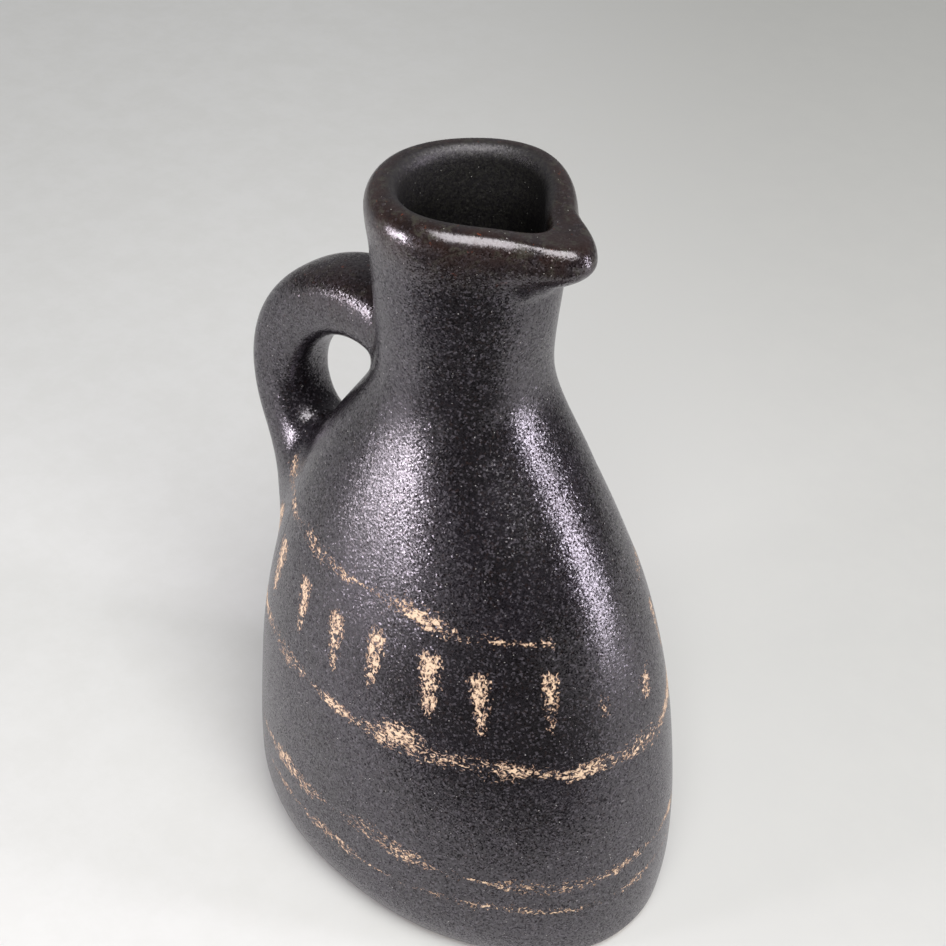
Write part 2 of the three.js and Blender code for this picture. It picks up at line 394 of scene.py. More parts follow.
def closed_grid(name, rings, normals, ends):
    """A piece through rings of points in millimetres.

    With ends "flat", the first and the last ring get a flat lid each. With ends "joined", these two rings
    are joined to each other by one level band.
    """
    row_count, side_count = rings.shape[:2]
    points = rings.reshape(-1, 3)
    if ends == "flat":
        points = np.concatenate([points, [rings[0].mean(0), rings[-1].mean(0)]])
    quads = side_quads(row_count, side_count)
    faces = quads.tolist() + end_faces(row_count, side_count, ends).tolist()
    mesh = bpy.data.meshes.new(name)
    mesh.from_pydata((points * MM).tolist(), [], faces)
    mesh.polygons.foreach_set("use_smooth", [True] * len(faces))
    mesh.update()
    vertex_of = np.empty(len(mesh.loops), np.int32)
    mesh.loops.foreach_get("vertex_index", vertex_of)
    corner_normals = face_normals_of(mesh)
    corner_normals[: quads.size] = normals.reshape(-1, 3)[vertex_of[: quads.size]]
    mesh.normals_split_custom_set(corner_normals.tolist())
    piece = bpy.data.objects.new(name, mesh)
    bpy.context.scene.collection.objects.link(piece)
    return piece


def closed_wall(name, rings, normals, turn_row):
    """Like closed_grid with joined ends, and with the band after turn_row level too."""
    piece = closed_grid(name, rings, normals, "joined")
    mesh = piece.data
    corners_in_row = rings.shape[1] * 4  # a quad's four for each side
    corner_normals = np.empty(len(mesh.loops) * 3)
    mesh.corner_normals.foreach_get("vector", corner_normals)
    corner_normals = corner_normals.reshape(-1, 3)
    corner_normals[turn_row * corners_in_row : (turn_row + 1) * corners_in_row] = (0, 0, 1)
    mesh.normals_split_custom_set(corner_normals.tolist())
    return piece


def give_values(piece, **fields):
    """Stores each field's values at the vertices, worked out from their places in millimetres."""
    mesh = piece.data
    places = np.empty(len(mesh.vertices) * 3)
    mesh.vertices.foreach_get("co", places)
    places = places.reshape(-1, 3) / MM
    for name, field in fields.items():
        values = mesh.attributes.new(name, "FLOAT", "POINT")
        values.data.foreach_set("value", np.broadcast_to(field(places), len(places)).astype(np.float32))


# Handle: its centre line, its section, and how far a point is from it and from the pot


def handle_curve():
    """Points along the handle's centre line in the XZ plane, from the top root to the low one."""
    top_height = COLLAR_JOINT_HEIGHT + TOP_ROOT_RISE
    low_height = COLLAR_JOINT_HEIGHT - LOW_ROOT_DROP

    def wall_at(height):
        return centre_at(height) - at(height, length_outline)

    top = np.array([wall_at(top_height) + ROOT_DEPTH, top_height])
    low = np.array([wall_at(low_height) + ROOT_DEPTH, low_height])
    far = np.array([wall_at(top_height) - HANDLE_REACH, COLLAR_JOINT_HEIGHT - HANDLE_REACH_DROP])
    share = np.linspace(0, 1, HANDLE_CURVE_POINTS)
    arch = bezier([top, top + (-ARCH_OUT, ARCH_RISE), far + (0, ARCH_SHOULDER), far], share)
    pull = (-LOW_ROOT_PULL_OUT, LOW_ROOT_PULL_UP)
    grip = bezier([far, far + (0, -GRIP_DROP), low + pull, low], share)
    return np.concatenate([arch, grip[1:]])


def handle_line():
    """The centre line's points at even spacing, their places along it, and its length.

    The points run straight on past both roots. The length is from root to root, and the places start at
    the top one, so they are below nought before it.
    """
    curve = handle_curve()
    spans = np.r_[0, np.cumsum(np.linalg.norm(np.diff(curve, axis=0), axis=1))]
    length = spans[-1]
    even = np.linspace(0, length, HANDLE_LINE_POINTS)
    line = np.stack([np.interp(even, spans, curve[:, i]) for i in range(2)], 1)
    run_on = np.arange(1, RUN_ON_POINTS + 1)
    before = line[0] + (line[0] - line[1]) * run_on[::-1, None]
    after = line[-1] + (line[-1] - line[-2]) * run_on[:, None]
    step = even[1]
    places = np.concatenate([-run_on[::-1] * step, even, length + run_on * step])
    return np.concatenate([before, line, after]), places, length


line_points, line_places, line_length = handle_line()
line_ways = unit(np.gradient(line_points, axis=0))


def along_handle(place):
    """Centre and direction in the XZ plane at distances along the centre line."""
    centre = np.stack([np.interp(place, line_places, line_points[:, i]) for i in range(2)], -1)
    way = unit(np.stack([np.interp(place, line_places, line_ways[:, i]) for i in range(2)], -1))
    return centre, way


def section_at(place):
    """Half the width along Y and half the thickness there."""
    share = np.clip(place / line_length, 0, 1)
    stops = (0, 0.5, 1)
    return np.interp(share, stops, HANDLE_WIDTHS) / 2, np.interp(share, stops, HANDLE_THICKNESSES) / 2


def handle_point(place, turn):
    """The point of the handle's surface at a place along it and a turn round its section."""
    centre, way = along_handle(place)
    half_width, half_thickness = section_at(place)
    power = HANDLE_FULLNESS
    oval = (np.abs(np.cos(turn)) ** power + np.abs(np.sin(turn)) ** power) ** (-1 / power)
    out = half_thickness * oval * np.cos(turn)
    x = centre[..., 0] + way[..., 1] * out
    z = centre[..., 1] - way[..., 0] * out
    return np.stack([x, half_width * oval * np.sin(turn), z], -1)


def nearest_on_line(flat):
    """For each point in the XZ plane, the index of the centre line's nearest point."""
    nearest = np.empty(len(flat), int)
    at_once = 4000  # so that the table of gaps stays small
    for start in range(0, len(flat), at_once):
        gaps = flat[start : start + at_once, None] - line_points[None]
        nearest[start : start + at_once] = (gaps**2).sum(-1).argmin(1)
    return nearest


def from_handle(points):
    """Distance outside the handle, or below nought inside it."""
    flat = points[:, [X, Z]]
    nearest = nearest_on_line(flat)
    ahead = ((flat - line_points[nearest]) * line_ways[nearest]).sum(-1)
    place = line_places[nearest] + ahead
    centre, way = along_handle(place)
    half_width, half_thickness = section_at(place)
    offset = flat - centre
    out = (offset[:, 0] * way[:, 1] - offset[:, 1] * way[:, 0]) / half_thickness
    across = points[:, Y] / half_width
    power = HANDLE_FULLNESS
    size = np.maximum((np.abs(out) ** power + np.abs(across) ** power) ** (1 / power), TINY)
    steep_out = (np.abs(out) / size) ** (power - 1) / half_thickness
    steep_across = (np.abs(across) / size) ** (power - 1) / half_width
    return (size - 1) / np.hypot(steep_out, steep_across)


def over_pot(points):
    """How far the points lie outside the oval wall, measured level."""
    height = np.clip(points[:, Z], 0, HEIGHT)
    x = points[:, X] - centre_at(height)
    angle = np.arctan2(points[:, Y], x)
    radius = oval_radius(angle, height, 0.0, 0.0)
    radius = radius + waver(placed(angle, height, radius))
    return np.hypot(x, points[:, Y]) - radius


def from_pot(points):
    """Distance outside the pot, which the wall's slope makes less than the level one."""
    height = np.clip(points[:, Z], 0, HEIGHT)
    angle = np.arctan2(points[:, Y], points[:, X] - centre_at(height))
    slope = at(height, length_slope) * np.cos(angle) ** 2 + at(height, depth_slope) * np.sin(angle) ** 2
    return over_pot(points) / np.hypot(1, slope)


def fillet_at(height):
    low_root = COLLAR_JOINT_HEIGHT - LOW_ROOT_DROP
    low_start, low_end = (low_root + offset for offset in LOW_FILLET_SPAN)
    top_start, top_end = (COLLAR_JOINT_HEIGHT + offset for offset in TOP_FILLET_SPAN)
    low = mix(LOW_FILLET_BELOW, LOW_FILLET, smooth(height, low_start, low_end))
    return mix(low, TOP_FILLET, smooth(height, top_start, top_end))


def from_blend(points):
    """Distance outside the pot and the handle, run together by a fillet."""
    pot = from_pot(points)
    handle = from_handle(points)
    reach = fillet_at(points[:, Z])
    near = np.maximum(reach - np.abs(pot - handle), 0) / reach
    return np.minimum(pot, handle) - near * near * reach / 4


def slopes(field, points, step=0.05):
    """The field's slopes along X, Y and Z at the points."""
    result = np.empty_like(points)
    for axis in range(3):
        offset = np.zeros(3)
        offset[axis] = step
        result[:, axis] = (field(points + offset) - field(points - offset)) / (2 * step)
    return result


def settled(field, points, rounds=7, least_steepness=0.05):
    """points moved square to the field's surface until they lie on it."""
    for _ in range(rounds):
        slope = slopes(field, points)
        steepness = np.maximum((slope**2).sum(-1, keepdims=True), least_steepness)
        points = points - field(points)[:, None] * slope / steepness
    return points


turns = np.arange(HANDLE_SIDES) / HANDLE_SIDES * 2 * np.pi


def crossing(places):
    """For each side of the handle, the place along it at which it leaves the pot for good."""
    found = np.empty(HANDLE_SIDES)
    for side, turn in enumerate(turns):
        depth = over_pot(handle_point(places, np.full_like(places, turn)))
        inside = np.nonzero(depth < 0)[0]
        i = inside[-1] if len(inside) else 0
        share = depth[i] / (depth[i] - depth[i + 1])
        found[side] = mix(places[i], places[i + 1], share)
    return found


def skirt_reach(fillet):
    return SKIRT_FILLET_SHARE * fillet + SKIRT_SPARE


def skirt(root, sign, fillet):
    """Rows from the pot onto the handle at one root, and the place of the hem beyond them on the pot.

    root is where each side of the handle leaves the pot, and sign is the way out along the handle.
    """
    reach = skirt_reach(fillet)
    corner = handle_point(root, turns)
    centre, _ = along_handle(root)
    outward = unit(corner - np.stack([centre[:, 0], np.zeros(HANDLE_SIDES), centre[:, 1]], -1))
    wall_normal = unit(slopes(from_pot, corner))
    outward = unit(outward - (outward * wall_normal).sum(-1, keepdims=True) * wall_normal)
    on_pot = corner + outward * reach
    on_handle = handle_point(root + sign * reach, turns)
    rows = []
    for share in np.linspace(0, 1, SKIRT_ROWS, endpoint=False):
        rows.append((1 - share) ** 2 * on_pot + 2 * share * (1 - share) * corner + share**2 * on_handle)
    return np.array(rows), on_pot + outward * SKIRT_HEM


def dived(hem):
    """The hem's ring and its normals, just under the skin of the pot."""
    points = settled(from_pot, hem)
    normals = unit(slopes(from_pot, points))
    return (points - normals * HEM_DIVE)[None], normals[None]


def handle_rings():
    """The handle's rings from the top root to the low one, with both skirts, and their normals."""
    from_top = line_places[(line_places > -ROOT_SEARCH) & (line_places < line_length / 2)]
    from_low = line_places[(line_places < line_length + ROOT_SEARCH) & (line_places > line_length / 2)]
    top_root = crossing(from_top)
    low_root = crossing(from_low[::-1])
    top_rows, top_hem = skirt(top_root, 1, TOP_FILLET)
    low_rows, low_hem = skirt(low_root, -1, LOW_FILLET)
    top_start = top_root + skirt_reach(TOP_FILLET)
    low_start = low_root - skirt_reach(LOW_FILLET)
    shares = np.linspace(0, 1, HANDLE_ROWS)
    middle_rows = [handle_point(mix(top_start, low_start, share), turns) for share in shares]
    rows = np.concatenate([top_rows, middle_rows, low_rows[::-1]])
    points = settled(from_blend, rows.reshape(-1, 3))
    normals = unit(slopes(from_blend, points))
    points = (points + normals * HANDLE_LIFT).reshape(rows.shape)
    top_points, top_normals = dived(top_hem)
    low_points, low_normals = dived(low_hem)
    normals = np.concatenate([top_normals, normals.reshape(rows.shape), low_normals])
    return np.concatenate([top_points, points, low_points]), normals


# Brushed decoration: hoops round the belly and a row of upright dabs between two of them

# Height, width and pressure of each hoop
HOOPS = ((87, 3.2, 0.44), (57, 4.0, 0.56), (27, 3.4, 0.5), (19, 2.4, 0.36))

# How a hoop changes along its way: by how much, over how many millimetres, and the first hoop's seed
HOOP_WANDER = (0.7, 60, 0)
HOOP_WIDTH_CHANGE = (0.35, 18, 10)
HOOP_PRESSURE_CHANGE = (0.65, 13, 20)

SLOW_WAVES = 6
SLOW_LENGTHS = (0.7, 1.6)  # of the length asked for
SLOW_STARTS = (0, 6.3)  # radians

DAB_COUNT = 20
DAB_HEIGHT = 72
DAB_LENGTH = 15
DAB_WIDTH = 4.4
DAB_PRESSURE = 0.85  # at its middle
DAB_TAPER = 0.25  # what a dab loses in width and pressure from top to middle, and again to its foot
DAB_END = 0.8  # of half its length, past which the brush lifts off
DAB_LIFT_OFF = 5  # how fast its strength falls past there
DAB_SHIFT = 0.12  # of the space between two dabs
DAB_TILT = 0.1  # aside for each millimetre up
DAB_RISE = 1.2
DAB_CHANGE = 0.15  # of its width and pressure
dab_changes = rng.uniform(-1, 1, (DAB_COUNT, 4))  # shift, tilt, rise and size of each

NO_STROKE = -1.0
STROKE_FALL = 0.5  # what a stroke loses in strength from its middle to its side
STROKE_MOST = 1.5


def girth_place(points):
    """Each point's distance round the belly at the dabs' height, and the whole way round."""
    around = np.linspace(-np.pi, np.pi, GIRTH_POINTS)
    level = np.full_like(around, DAB_HEIGHT)
    hoop = placed(around, level, oval_radius(around, level, 0, 0))
    spans = np.r_[0, np.cumsum(np.linalg.norm(np.diff(hoop, axis=0), axis=1))]
    angle = np.arctan2(points[:, Y], points[:, X] - centre_at(points[:, Z]))
    return np.interp(angle, around, spans), spans[-1]


def slow(points, length, seed):
    """A gentle random value, mostly within -1 to 1, that changes over about length millimetres."""
    local = np.random.default_rng(seed)
    total = 0
    for _ in range(SLOW_WAVES):
        way = unit(local.normal(size=3))
        wave_length = length * local.uniform(*SLOW_LENGTHS)
        start = local.uniform(*SLOW_STARTS)
        total = total + np.sin(points @ way * 2 * np.pi / wave_length + start)
    return total / math.sqrt(SLOW_WAVES / 2)


def hoop_change(points, change, hoop):
    amount, length, first_seed = change
    return amount * slow(points, length, first_seed + hoop)


def hoop_strength(points):
    best = np.full(len(points), NO_STROKE)
    for hoop, (height, width, pressure) in enumerate(HOOPS):
        middle = height + hoop_change(points, HOOP_WANDER, hoop)
        half = width / 2 * (1 + hoop_change(points, HOOP_WIDTH_CHANGE, hoop))
        press = pressure * (1 + hoop_change(points, HOOP_PRESSURE_CHANGE, hoop))
        best = np.maximum(best, press - ((points[:, Z] - middle) / half) ** 2 * STROKE_FALL)
    return best


def dab_strength(points):
    place, girth = girth_place(points)
    best = np.full(len(points), NO_STROKE)
    spacing = girth / DAB_COUNT
    for index, (shift, tilt, rise, size) in enumerate(dab_changes):
        middle = (index + 0.5 + DAB_SHIFT * shift) * spacing
        up = points[:, Z] - DAB_HEIGHT - DAB_RISE * rise
        aside = (place - middle + girth / 2) % girth - girth / 2 - DAB_TILT * tilt * up
        share = up / (DAB_LENGTH / 2)
        half = DAB_WIDTH / 2 * (1 + DAB_CHANGE * size) * (1 - DAB_TAPER + DAB_TAPER * share)
        press = DAB_PRESSURE + DAB_TAPER * share + DAB_CHANGE * size
        press = press - np.maximum(np.abs(share) - DAB_END, 0) * DAB_LIFT_OFF
        best = np.maximum(best, press - (aside / half) ** 2 * STROKE_FALL)
    return best


def stroke_field(points):
    strength = np.maximum(hoop_strength(points), dab_strength(points))
    return mix(NO_STROKE, np.clip(strength, NO_STROKE, STROKE_MOST), clear_of_handle(points))


def upright_field(points):
    """1 where a dab is stronger than a hoop."""
    return (dab_strength(points) > hoop_strength(points)) * 1.0


# Where the glaze changes, as shares and heights in millimetres

INSIDE_WALL_SHARES = (0.4, 0.7)  # of the rim's wall, measured in from the outside
HANDLE_CLEARING = (1.5, 5)  # from the handle, from no brush marks to all of them
THIN_RIM = 0.85
THIN_RIM_DROPS = (16, 1)  # below the top
THIN_FOOT = 0.6
THIN_FOOT_HEIGHTS = (0.4, 2.5)
THIN_ARCH = 0.45
THIN_ARCH_RISES = (12, 26)  # above the collar joint


def inside_field(points):
    """1 on the pot's inner surface, and up to it across the middle of the rim."""
    start, end = INSIDE_WALL_SHARES
    return smooth(-over_pot(points), start * RIM_WALL, end * RIM_WALL)


def clear_of_handle(points):
    return smooth(from_handle(points), *HANDLE_CLEARING)


def thin_field(points):
    """Near 1 where the glaze runs thin: on the rim and spout, and less so on the foot and the arch."""
    height = points[:, Z]
    rim_start, rim_end = THIN_RIM_DROPS
    arch_start, arch_end = THIN_ARCH_RISES
    rim = smooth(height, HEIGHT - rim_start, HEIGHT - rim_end)
    foot = 1 - smooth(height, *THIN_FOOT_HEIGHTS)
    arch = smooth(height, COLLAR_JOINT_HEIGHT + arch_start, COLLAR_JOINT_HEIGHT + arch_end)
    arch = (1 - clear_of_handle(points)) * arch
    return np.clip(THIN_RIM * rim + THIN_FOOT * foot + THIN_ARCH * arch, 0, 1)


# Shader nodes


def new_material(name):
    material = bpy.data.materials.new(name)
    material.use_nodes = True
    material.node_tree.nodes.clear()
    return material, material.node_tree


def add(tree, kind, inputs=None, **settings):
    """A shader node with its settings and its inputs, each a value or another node's output."""
    node = tree.nodes.new("ShaderNode" + kind)
    for key, value in settings.items():
        setattr(node, key, value)
    for key, value in (inputs or {}).items():
        if isinstance(value, bpy.types.NodeSocket):
            tree.links.new(value, node.inputs[key])
        else:
            node.inputs[key].default_value = value
    return node


def colour(red, green, blue):
    return (red, green, blue, 1)


def maths(tree, operation, a, b=0.0, c=0.0):
    return add(tree, "Math", {0: a, 1: b, 2: c}, operation=operation).outputs[0]


def product(tree, a, b):
    return maths(tree, "MULTIPLY", a, b)


def rest_of(tree, share):
    return maths(tree, "SUBTRACT", 1.0, share)


def ranged(tree, value, low, high, to_low=0.0, to_high=1.0):
    inputs = {"Value": value, "From Min": low, "From Max": high, "To Min": to_low, "To Max": to_high}
    return add(tree, "MapRange", inputs, interpolation_type="SMOOTHSTEP").outputs[0]


# A Mix node's sockets go by number, because the ones for numbers and for colours share their names.


def blended(tree, share, a, b):
    """The colour a where share is 0 and b where it is 1."""
    return add(tree, "Mix", {0: share, 6: a, 7: b}, data_type="RGBA").outputs[2]


def between(tree, share, a, b):
    """The number a where share is 0 and b where it is 1."""
    return add(tree, "Mix", {0: share, 2: a, 3: b}, data_type="FLOAT").outputs[0]


def noise(tree, place, scale, detail=2.0, roughness=0.5, distortion=0.0):
    inputs = {"Vector": place, "Scale": scale, "Detail": detail}
    inputs.update({"Roughness": roughness, "Distortion": distortion})
    return add(tree, "TexNoise", inputs).outputs["Fac"]


def cells(tree, place, scale):
    """Cells of different sizes with a random colour each."""
    return add(tree, "TexVoronoi", {"Vector": place, "Scale": scale}, feature="F1")


def channel(tree, tint, index):
    return add(tree, "SeparateColor", {0: tint}).outputs[index]


def vector_maths(tree, operation, inputs, output=0):
    return add(tree, "VectorMath", inputs, operation=operation).outputs[output]


def distance_along(tree, place, way):
    return vector_maths(tree, "DOT_PRODUCT", {0: place, 1: tuple(way)}, "Value")


def object_place(tree):
    return add(tree, "TexCoord").outputs["Object"]


def height_in(tree, place):
    return add(tree, "SeparateXYZ", {0: place}).outputs[Z]


def value_of(tree, name):
    """What give_values stored under the name."""
    return add(tree, "Attribute", attribute_name=name).outputs["Fac"]


def surface(tree, shader):
    add(tree, "OutputMaterial", {"Surface": shader.outputs[0]}).is_active_output = True


# Glaze, slip and clay. A noise is its scale in waves in a metre, its detail, roughness and distortion.

GLAZE_DARK = colour(0.0055, 0.0046, 0.0055)
GLAZE_VIOLET = colour(0.011, 0.0090, 0.0125)
CLOUDS = (70, 3, 0.55)
CLOUD_SPAN = (0.35, 0.7)

GLAZE_FLECK = colour(0.050, 0.045, 0.054)
FLECK_SCALE = 2300
FLECK_CHANCE = (0.76, 0.92)

GLAZE_BROWN = colour(0.025, 0.012, 0.0085)
SPECKS = (1500, 2, 0.6)
SPECK_SPAN = (0.56, 0.72)
SPECK_STRENGTH = 0.55
BROWN_PATCHES = (160, 4, 0.65)
BROWN_SPAN = (0.3, 0.62)
BROWN_STRENGTHS = (0.35, 1.0)

GLAZE_MOSS = colour(0.044, 0.040, 0.030)
MOSS_PATCHES = (420, 4, 0.7)
MOSS_SPAN = (0.5, 0.64)

GLAZE_RUST = colour(0.20, 0.042, 0.014)
RUST_PATCHES = (700, 3, 0.6, 0.3)
RUST_SPAN = (0.66, 0.74)

GLAZE_INSIDE = colour(0.010, 0.009, 0.010)
GLAZE_OLIVE = colour(0.024, 0.023, 0.020)
OLIVE_SPAN = (0.42, 0.62)

GLAZE_CRYSTAL = colour(0.58, 0.56, 0.54)
PALE_CRYSTAL_SCALE = 900
PALE_CRYSTAL_SIZE = 0.11  # of the space between two of them
PALE_CRYSTAL_CHANCE = (0.6, 0.85)

BRUSH_RUST = colour(0.22, 0.105, 0.055)
BRUSH_TAN = colour(0.41, 0.26, 0.16)
BRUSH_CREAM = colour(0.72, 0.53, 0.36)
BRUSH_NOISE = (950, 4, 0.62, 0.9)
BRUSH_STRETCH = 1.4  # how drawn out its flecks are along the stroke
BRUSH_PRESSURE = 0.17  # what a stroke's strength counts for beside its noise
BRUSH_SPAN = (0.565, 0.70)
BRUSH_HEIGHT = 1.6  # times the grain's depth
BRUSH_ROUGHNESS = 0.62
RUST_TO_TAN = (0.2, 0.6)
TAN_TO_CREAM = (0.75, 1.0)
GLAZE_TO_SLIP = (0.0, 0.4)

GRAIN_SCALE = 1800
GRAIN_DEPTH = 0.00004  # metres
POLISHED_THINNESS = (0.72, 0.82)
POLISH = 0.7  # how much of the grain is gone where the glaze runs thinnest
FACET_SCALE = 3300.0  # crystals in a metre
FACET_TILT = 0.66
PIT_CHANCE = (0.52, 0.95)  # of a crystal's random number, from no pit to a whole one
PIT_DEPTH = 0.62
# painted shade: the inside of the neck is made dull, and so darker, deeper down
NECK_PAINTED_SHADE = 0.75
NECK_PAINTED_SHADE_HEIGHTS = (0.156, 0.166)  # metres, from dull to as bright as the lip
INSIDE_ROUGHNESS = 0.30  # added to the outside's
SHINE_NOISE = (2600, 1, 0.5)
SHINE_SPAN = (0.3, 0.7)
GLAZE_ROUGHNESS = (0.20, 0.27)
GLAZE_IOR = 1.86
GLAZE_SHEEN = colour(0.96, 0.91, 1.0)

CLAY_TAN = colour(0.46, 0.33, 0.22)
CLAY_BROWN = colour(0.30, 0.20, 0.13)
CLAY_MOTTLE = (900, 4, 0.6)
CLAY_SPAN = (0.35, 0.65)
CLAY_ROUGHNESS = 0.85
GLAZE_EDGE_NOISE = (300, 4, 0.65)
GLAZE_EDGE_RAGGEDNESS = 0.0012
GLAZE_EDGE_HEIGHTS = (0.0011, 0.0016)


def glaze_colour(tree, place):
    """The glaze's colour: dark clouds and specks all over, and brown, moss and rust where it runs thin."""
    cloud = noise(tree, place, *CLOUDS)
    body = blended(tree, ranged(tree, cloud, *CLOUD_SPAN), GLAZE_DARK, GLAZE_VIOLET)
    chance = channel(tree, cells(tree, place, FLECK_SCALE).outputs["Color"], 1)
    body = blended(tree, ranged(tree, chance, *FLECK_CHANCE), body, GLAZE_FLECK)
    speck = noise(tree, place, *SPECKS)
    body = blended(tree, ranged(tree, speck, *SPECK_SPAN, 0.0, SPECK_STRENGTH), body, GLAZE_BROWN)
    thin = value_of(tree, "thin")
    brown = ranged(tree, noise(tree, place, *BROWN_PATCHES), *BROWN_SPAN, *BROWN_STRENGTHS)
    body = blended(tree, product(tree, thin, brown), body, GLAZE_BROWN)
    moss = ranged(tree, noise(tree, place, *MOSS_PATCHES), *MOSS_SPAN)
    body = blended(tree, product(tree, thin, moss), body, GLAZE_MOSS)
    rust = ranged(tree, noise(tree, place, *RUST_PATCHES), *RUST_SPAN)
    body = blended(tree, product(tree, thin, rust), body, GLAZE_RUST)
    lining = blended(tree, ranged(tree, speck, *OLIVE_SPAN), GLAZE_INSIDE, GLAZE_OLIVE)
    body = blended(tree, value_of(tree, "inside"), body, lining)
    return blended(tree, pale_crystals(tree, place), body, GLAZE_CRYSTAL)


def pale_crystals(tree, place):
    """1 on the few pale specks that lie scattered in the glaze."""
    spots = cells(tree, place, PALE_CRYSTAL_SCALE).outputs
    near = ranged(tree, spots["Distance"], PALE_CRYSTAL_SIZE / 2, PALE_CRYSTAL_SIZE, 1.0, 0.0)
    chance = channel(tree, spots["Color"], 0)
    return product(tree, near, ranged(tree, chance, *PALE_CRYSTAL_CHANCE))


def brush_marks(tree, place):
    """How much dry brushed slip covers each point, broken into flecks drawn out along the stroke."""
    level_place = vector_maths(tree, "MULTIPLY", {0: place, 1: (1, 1, BRUSH_STRETCH)})
    upright_place = vector_maths(tree, "MULTIPLY", {0: place, 1: (BRUSH_STRETCH, BRUSH_STRETCH, 1)})
    level = noise(tree, level_place, *BRUSH_NOISE)
    upright = noise(tree, upright_place, *BRUSH_NOISE)
    fleck = between(tree, value_of(tree, "upright"), level, upright)
    wet = maths(tree, "MULTIPLY_ADD", value_of(tree, "stroke"), BRUSH_PRESSURE, fleck)
    return ranged(tree, wet, *BRUSH_SPAN)


def slipped(tree, brush, tint):
    """The glaze's tint with the slip's colour over it, the paler the thicker the slip is."""
    slip = blended(tree, ranged(tree, brush, *RUST_TO_TAN), BRUSH_RUST, BRUSH_TAN)
    slip = blended(tree, ranged(tree, brush, *TAN_TO_CREAM), slip, BRUSH_CREAM)
    return blended(tree, ranged(tree, brush, *GLAZE_TO_SLIP), tint, slip)


def grain_share(tree, inside):
    """How much of the grain is there: all of it, but for where the glaze runs thin over the rim."""
    thinnest = ranged(tree, value_of(tree, "thin"), *POLISHED_THINNESS)
    polished = product(tree, thinnest, rest_of(tree, inside))
    return maths(tree, "MULTIPLY_ADD", polished, -POLISH, 1.0)


def relief(tree, place, brush, grained):
    """The directions of a surface with a fine grain and raised brush marks."""
    grain = product(tree, noise(tree, place, GRAIN_SCALE, 0.0), grained)
    height = maths(tree, "MULTIPLY_ADD", brush, BRUSH_HEIGHT, grain)
    return add(tree, "Bump", {"Height": height, "Strength": 1.0, "Distance": GRAIN_DEPTH}).outputs[0]


def tilted(tree, crystals, facing, amount):
    """The directions in facing, with each crystal tilted its own way, most of them only a little."""
    ways = vector_maths(tree, "SUBTRACT", {0: crystals, 1: (0.5, 0.5, 0.5)})
    steep = vector_maths(tree, "DOT_PRODUCT", {0: ways, 1: ways}, "Value")
    ways = vector_maths(tree, "SCALE", {0: ways, "Scale": product(tree, steep, amount)})
    total = vector_maths(tree, "ADD", {0: facing, 1: ways})
    return vector_maths(tree, "NORMALIZE", {0: total})


def dullness_and_painted_shade(tree, crystals, amount, inside, height):
    """The shader's Metallic: high in the dark pits outside, painted shade down in the neck, and nought
    elsewhere.

    A metal mirrors no more than its colour, so where the dark glaze counts as metal, it loses its shine.
    """
    chance = channel(tree, crystals, 2)
    pits = product(tree, ranged(tree, chance, *PIT_CHANCE, 0.0, PIT_DEPTH), amount)
    pits = product(tree, pits, rest_of(tree, inside))
    # painted shade: dull, and so darker, down inside the neck
    painted_neck_shade = product(tree, inside, ranged(tree, height, *NECK_PAINTED_SHADE_HEIGHTS, NECK_PAINTED_SHADE, 0.0))
    return maths(tree, "ADD", pits, painted_neck_shade)


def glaze_roughness(tree, place, brush, inside):
    shine = ranged(tree, noise(tree, place, *SHINE_NOISE), *SHINE_SPAN, *GLAZE_ROUGHNESS)
    shine = maths(tree, "MULTIPLY_ADD", inside, INSIDE_ROUGHNESS, shine)
    return between(tree, brush, shine, BRUSH_ROUGHNESS)


def glazed_share(tree, place, height):
    """0 on the bare foot and 1 above the glaze's ragged lower edge."""
    ragged = noise(tree, place, *GLAZE_EDGE_NOISE)
    edge = maths(tree, "MULTIPLY_ADD", ragged, GLAZE_EDGE_RAGGEDNESS, height)
    return ranged(tree, edge, *GLAZE_EDGE_HEIGHTS)


def make_glaze(name, bare_foot=False):
    material, tree = new_material(name)
    place = object_place(tree)
    height = height_in(tree, place)
    inside = value_of(tree, "inside")
    brush = brush_marks(tree, place)
    grained = grain_share(tree, inside)
    crystals = cells(tree, place, FACET_SCALE).outputs["Color"]
    tilt = product(tree, grained, FACET_TILT)
    facing = tilted(tree, crystals, relief(tree, place, brush, grained), tilt)
    tint = slipped(tree, brush, glaze_colour(tree, place))
    rough = glaze_roughness(tree, place, brush, inside)
    # dark pits in the grain, and painted shade down in the neck
    dull_and_painted_shade = dullness_and_painted_shade(tree, crystals, product(tree, grained, rest_of(tree, brush)), inside, height)
    if bare_foot:
        glazed = glazed_share(tree, place, height)
        mottle = noise(tree, place, *CLAY_MOTTLE)
        clay = blended(tree, ranged(tree, mottle, *CLAY_SPAN), CLAY_BROWN, CLAY_TAN)
        tint = blended(tree, glazed, clay, tint)
        rough = between(tree, glazed, CLAY_ROUGHNESS, rough)
    look = {"Base Color": tint, "Roughness": rough, "Metallic": dull_and_painted_shade, "Normal": facing}
    shader = add(tree, "BsdfPrincipled", look)
    shader.inputs["IOR"].default_value = GLAZE_IOR
    shader.inputs["Specular Tint"].default_value = GLAZE_SHEEN
    surface(tree, shader)
    return material


# The pieces

rings, marks = pot_rings()
normals = grid_normals(rings)
wall, collar, inside_collar = marks["wall"], marks["collar"], marks["inside_collar"]
base_rows = slice(0, wall + 1)
wall_rows = np.r_[wall : collar + 1, inside_collar : len(rings)]
neck_rows = slice(collar, inside_collar + 1)

base = closed_grid("base_skin", rings[base_rows], normals[base_rows], "flat")
body = closed_wall("body_wall_skin", rings[wall_rows], normals[wall_rows], collar - wall)
neck = closed_grid("neck_skin", rings[neck_rows], normals[neck_rows], "joined")
handle = closed_grid("handle_skin", *handle_rings(), "flat")

